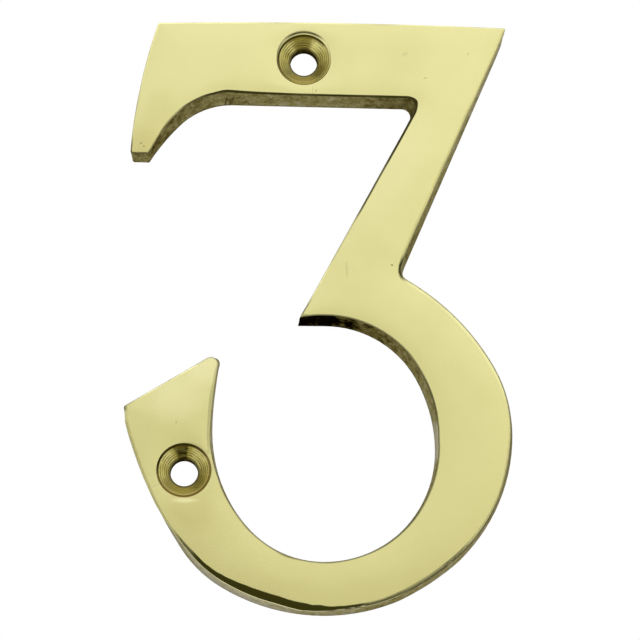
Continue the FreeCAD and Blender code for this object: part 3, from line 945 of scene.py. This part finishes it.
@dataclass
class Numeral:
    """The casting, with its surfaces sorted by how each was worked."""

    holes: tuple[Vector, ...] = (Vector((0, 0, 0)), Vector((-14.47, 0, -53.27)) * MM)
    bore_radius: float = BORE_RADIUS_MM * MM
    countersink_radius: float = COUNTERSINK_RADIUS_MM * MM
    thickness: float = THICKNESS_MM * MM
    view: Viewpoint = Viewpoint()
    merge_gap: float = 1e-6
    # Cuts across the front, and cuts round the edge at depths below the front in millimetres
    grid: float = 0.55 * MM
    edge_rows: tuple[float, ...] = (0.1, 0.2, 0.3, 0.4, 0.5)
    cut_gap: float = 1e-7
    crown_depth: float = 0.05 * MM
    crown_width: float = 3.2 * MM
    edge_depth: float = 0.2 * MM
    rim_tries: int = 6
    # How far a face may lie or lean from a surface that it belongs to
    slack: float = 0.02 * MM
    flat_angle: float = math.radians(0.2)
    flat_slope: float = 0.9999
    back_slope: float = 0.99
    top_slope: float = 0.9
    wall_slope: float = 0.45
    sharp_angle: float = math.radians(32)
    # Filing leaves the countersinks alone and comes in over this width round them
    hold_width: float = 0.6 * MM
    hold_share: float = 0.1
    # How soft an edge note's own place is, and how fast it gives way to the next
    note_blur_mm: float = 0.3
    note_fall: int = 4

    def build(self, node: bpy.types.Object) -> bpy.types.Object:
        """Makes the dressed piece from a merged copy of the casting.

        Args:
            node: The casting's own object, which is left alone.

        Returns:
            The new piece.
        """
        mesh = bmesh.new()
        mesh.from_mesh(node.data)
        bmesh.ops.remove_doubles(mesh, verts=mesh.verts, dist=self.merge_gap)
        self.join_front(mesh)
        self.divide(mesh)
        mesh.verts.layers.float.new(RIM_ATTRIBUTE)
        self.sort_faces(mesh)
        front = {face for face in mesh.faces if self.is_front(face)}
        self.crown_front(mesh, front)
        self.mark_sharp_edges(mesh, front)
        data = bpy.data.meshes.new("numeral_casting")
        mesh.to_mesh(data)
        mesh.free()
        self.file_outline(data)
        self.note_edges(data)
        piece = add_object("numeral_casting", data)
        for material in self.finishes():
            data.materials.append(material)
        weighting = piece.modifiers.new("weighted_normals", "WEIGHTED_NORMAL")
        weighting.keep_sharp = True
        return piece

    def is_front(self, face: bmesh.types.BMFace) -> bool:
        """Whether a face belongs to the flat front."""
        flat = face.normal.y < -self.flat_slope
        return flat and face.calc_center_median().y < -self.thickness + self.slack

    def join_front(self, mesh: bmesh.types.BMesh) -> None:
        """Clears the long triangles from the flat front, so that it takes an even grid.

        Args:
            mesh: The casting.
        """
        front = {face for face in mesh.faces if self.is_front(face)}
        inner = [edge for edge in mesh.edges
                 if edge.link_faces and all(side in front for side in edge.link_faces)]
        bmesh.ops.dissolve_limit(mesh, angle_limit=self.flat_angle, verts=[], edges=inner)

    def divide(self, mesh: bmesh.types.BMesh) -> None:
        """Cuts the casting along an even grid, so that its front can be crowned.

        Its rounded edge is also cut in rows, so that each row is one surface throughout.

        Args:
            mesh: The casting.
        """
        xs = [vertex.co.x for vertex in mesh.verts]
        zs = [vertex.co.z for vertex in mesh.verts]
        cuts = []
        for axis, low, high in ((Vector((1, 0, 0)), min(xs), max(xs)),
                                (Vector((0, 0, 1)), min(zs), max(zs))):
            for step in range(1, int((high - low) / self.grid) + 1):
                cuts.append((axis * (low + step * self.grid), axis))
        for depth in self.edge_rows:
            cuts.append((Vector((0, depth * MM - self.thickness, 0)), Vector((0, 1, 0))))
        for place, direction in cuts:
            bmesh.ops.bisect_plane(mesh, geom=[*mesh.verts, *mesh.edges, *mesh.faces],
                                   dist=self.cut_gap, plane_co=place, plane_no=direction)
        ngons = [face for face in mesh.faces if len(face.verts) > 4]
        bmesh.ops.triangulate(mesh, faces=ngons)

    def region(self, face: bmesh.types.BMFace) -> Region:
        """Finds the surface that a face belongs to.

        Args:
            face: The face, with its normal up to date.

        Returns:
            The surface.
        """
        middle = face.calc_center_median()
        reach = min(math.hypot(middle.x - hole.x, middle.z - hole.z) for hole in self.holes)
        if face.normal.y > self.back_slope:
            return Region.BACK
        if reach < self.bore_radius + self.slack:
            return Region.BORE
        if reach < self.countersink_radius + self.slack and face.normal.y > -self.top_slope:
            return Region.COUNTERSINK
        return Region.FRONT if face.normal.y < -self.wall_slope else Region.WALL

    def sort_faces(self, mesh: bmesh.types.BMesh) -> None:
        """Gives each face its material slot and smooth shading.

        Args:
            mesh: The casting.
        """
        mesh.normal_update()
        for face in mesh.faces:
            face.material_index = self.region(face).value
            face.smooth = True

    def rim_edges(self, mesh: bmesh.types.BMesh, front: set[bmesh.types.BMFace]
                  ) -> list[bmesh.types.BMEdge]:
        """Finds the edges round the flat front.

        They come in the mesh's own order, so that every run gives the same piece.

        Args:
            mesh: The casting.
            front: The faces of its flat front.

        Returns:
            The edges that have the front on one side only.
        """
        return [edge for edge in mesh.edges
                if 0 < sum(side in front for side in edge.link_faces) < len(edge.link_faces)]

    def crown_front(self, mesh: bmesh.types.BMesh, front: set[bmesh.types.BMFace]) -> None:
        """Buffs the front a little lower along its rim, and writes down how far the rim is.

        Args:
            mesh: The casting.
            front: The faces of its flat front.
        """
        layer = mesh.verts.layers.float[RIM_ATTRIBUTE]
        inside = {vertex for face in front for vertex in face.verts}
        rim = self.rim_edges(mesh, front)
        finder = kdtree.KDTree(len(rim))
        for index, edge in enumerate(rim):
            finder.insert((edge.verts[0].co + edge.verts[1].co) / 2, index)
        finder.balance()
        drops = {}
        for vertex in inside:
            gap = min(self.gap_to(vertex.co, rim[index])
                      for _, index, _ in finder.find_n(vertex.co, self.rim_tries))
            vertex[layer] = gap
            rise = min(gap / self.crown_width, 1.0)
            drops[vertex] = self.crown_depth * (1 - rise) ** 2
        for vertex in mesh.verts:
            if vertex in drops:
                vertex.co.y += drops[vertex]
            elif vertex.co.y < -self.thickness + self.edge_depth:
                share = 1 - (vertex.co.y + self.thickness) / self.edge_depth
                vertex.co.y += self.crown_depth * share

    def gap_to(self, place: Vector, edge: bmesh.types.BMEdge) -> float:
        """Measures from a place to an edge.

        Args:
            place: The place.
            edge: The edge.

        Returns:
            The shortest distance.
        """
        first, second = (vertex.co for vertex in edge.verts)
        nearest, share = geometry.intersect_point_line(place, first, second)
        if share < 0:
            nearest = first
        elif share > 1:
            nearest = second
        return (place - nearest).length

    def mark_sharp_edges(self, mesh: bmesh.types.BMesh, front: set[bmesh.types.BMFace]) -> None:
        """Marks the crisp edges, and the front's own rim, which smooth shading doesn't cross.

        Args:
            mesh: The casting.
            front: The faces of its flat front.
        """
        rim = set(self.rim_edges(mesh, front))
        mesh.normal_update()
        for edge in mesh.edges:
            edge.smooth = edge not in rim and edge.calc_face_angle(math.pi) < self.sharp_angle

    def file_outline(self, data: bpy.types.Mesh) -> None:
        """Moves the stretches of the outline that were filed by hand.

        Args:
            data: The casting's mesh.
        """
        places = read_places(data)
        depth = np.clip(-places[:, 1] / self.thickness, 0, 1)[:, None]
        centres = np.array([(hole.x, hole.z) for hole in self.holes])
        reach = np.linalg.norm(places[:, None, ::2] - centres[None], axis=2).min(axis=1)
        free = (reach - self.countersink_radius) / self.hold_width - self.hold_share
        free = np.clip(free, 0, 1)[:, None]
        for stretch in FILED:
            gaps, moves = stretch.moves(places[:, ::2] / MM, self.view)
            rise = np.clip(1 - gaps / stretch.reach, 0, 1)[:, None]
            share = rise * rise * (3 - 2 * rise) * free
            front = depth ** stretch.bite
            places[:, ::2] += share * MM * (front * moves[:, :2] + (1 - depth) * moves[:, 2:])
        data.vertices.foreach_set("co", places.astype(np.float32).ravel())
        data.update()

    def note_edges(self, data: bpy.types.Mesh) -> None:
        """Keeps on every vertex what the edge notes say of the places nearest to it.

        Args:
            data: The casting's mesh.
        """
        places = read_places(data)[:, ::2] / MM
        spots = np.array([self.view.on_front(note.across, note.down) for note in EDGE_NOTES])
        facts = np.array([(note.shadow, note.line, note.creep, note.dirt_and_shade)
                          for note in EDGE_NOTES])
        gaps = np.linalg.norm(places[:, None, :] - spots[None, :, :], axis=2)
        weights = 1 / (gaps + self.note_blur_mm) ** self.note_fall
        values = weights @ facts / weights.sum(axis=1, keepdims=True)
        for column, name in enumerate(EDGE_ATTRIBUTES):
            layer = data.attributes.new(name, "FLOAT", "POINT")
            layer.data.foreach_set("value", values[:, column].astype(np.float32))

    def finishes(self) -> list[bpy.types.Material]:
        """The materials in the order of the regions."""
        return [BuffedBrass().make(), CastBrass().make(), TurnedBrass().make(self.holes),
                DrilledBrass().make(), GroundBrass().make()]


@dataclass
class Studio:
    """A pale floor under a white surround that shades off low in front of the numeral."""

    floor_level: float = -0.2
    floor_radius: float = 1.2
    floor_colour: str = "F4F4F2"
    floor_roughness: float = 0.8
    lamp_power: float = 1.3
    lamp_size: float = 0.9
    lamp_place: tuple[float, float, float] = (-0.35, -0.55, 0.75)
    lamp_aim: tuple[float, float, float] = (0.0, 0.0, -0.03)
    # Colours of the surround from straight down, at nought, to straight up, at one
    shades: tuple[tuple[float, str], ...] = (
        (0.0, "6A6250"), (0.36, "6A6250"), (0.5, "B4AE96"), (0.574, "DEDCCB"),
        (0.663, "FAFAF6"), (0.75, "FFFFFF"),
    )
    # How bright it is on the left and on the right, and how far round that change takes
    side_levels: tuple[float, float] = (0.89, 1.11)
    side_reach: float = 0.15

    def build(self) -> None:
        """Adds the floor, the lamp and the surround."""
        self.lay_floor()
        self.hang_lamp()
        self.paint_surround()

    def lay_floor(self) -> None:
        """Lays the floor well below the numeral, which hangs as it does on a door."""
        mesh = bmesh.new()
        bmesh.ops.create_circle(mesh, cap_ends=True, segments=96, radius=self.floor_radius)
        bmesh.ops.translate(mesh, verts=mesh.verts, vec=(0, 0, self.floor_level))
        data = bpy.data.meshes.new("floor")
        mesh.to_mesh(data)
        mesh.free()
        floor = add_object("floor", data)
        box = Paintbox.open("matt_floor_paint", Roughness=self.floor_roughness)
        box.tint(self.floor_colour)
        data.materials.append(box.close())

    def hang_lamp(self) -> None:
        """Hangs one soft lamp high in front, to the left."""
        data = bpy.data.lights.new("softbox", "AREA")
        data.shape = "DISK"
        data.size = self.lamp_size
        data.energy = self.lamp_power
        lamp = add_object("softbox", data)
        lamp.location = self.lamp_place
        aim = Vector(self.lamp_aim) - lamp.location
        lamp.rotation_euler = aim.to_track_quat("-Z", "Y").to_euler()

    def paint_surround(self) -> None:
        """Paints the surround by direction: white behind, and darker low in front."""
        world = bpy.data.worlds.new("surround")
        bpy.context.scene.world = world
        world.use_nodes = True
        tree = world.node_tree
        tree.nodes.clear()
        direction = add_node(tree, "TexCoord").outputs["Generated"]
        axes = add_node(tree, "SeparateXYZ", Vector=direction)
        front = add_node(tree, "ValToRGB", Fac=add_node(
            tree, "MapRange", Value=axes.outputs["Z"], From_Min=-1.0, From_Max=1.0
        ).outputs["Result"])
        while len(front.color_ramp.elements) < len(self.shades):
            front.color_ramp.elements.new(0.5)
        for element, (position, colour) in zip(front.color_ramp.elements, self.shades):
            element.position = position
            element.color = linear(colour)
        side = add_node(tree, "MapRange", Value=axes.outputs["X"], From_Min=-self.side_reach,
                        From_Max=self.side_reach, To_Min=self.side_levels[0],
                        To_Max=self.side_levels[1])
        lit = add_node(tree, "VectorMath", {"operation": "SCALE"},
                       i0=front.outputs["Color"], Scale=side.outputs["Result"])
        behind = add_node(tree, "MapRange", {"interpolation_type": "SMOOTHSTEP"},
                          Value=axes.outputs["Y"], From_Min=-0.3, From_Max=0.2)
        around = add_node(tree, "Mix", {"data_type": "RGBA"}, i0=behind.outputs["Result"],
                          i6=lit.outputs["Vector"], i7=(1, 1, 1, 1))
        rays = add_node(tree, "LightPath")
        mirrored = add_node(tree, "Math", {"operation": "MAXIMUM"},
                            i0=rays.outputs["Is Glossy Ray"],
                            i1=rays.outputs["Is Transmission Ray"])
        mirrored = add_node(tree, "Math", {"operation": "MULTIPLY"},
                            i0=mirrored.outputs["Value"], i1=behind.outputs["Result"])
        seen = add_node(tree, "Math", {"operation": "MAXIMUM"},
                        i0=rays.outputs["Is Camera Ray"], i1=mirrored.outputs["Value"])
        shown = add_node(tree, "Mix", {"data_type": "RGBA"}, i0=seen.outputs["Value"],
                         i6=around.outputs[2], i7=(1, 1, 1, 1))
        background = add_node(tree, "Background", Color=shown.outputs[2], Strength=1.0)
        add_node(tree, "OutputWorld", Surface=background.outputs["Background"])


def main() -> None:
    """Builds the numeral and its studio."""
    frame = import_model()
    bpy.context.scene.view_settings.view_transform = "Standard"
    Viewpoint().place()
    Studio().build()

    piece = Numeral().build(frame["nodes"][NODE])
    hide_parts(NODE)
    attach(piece, BODY)
    log.info("%s: %d faces", piece.name, len(piece.data.polygons))


if __name__ == "__main__":
    logging.basicConfig(level=logging.INFO, format="%(name)s: %(message)s")
    main()
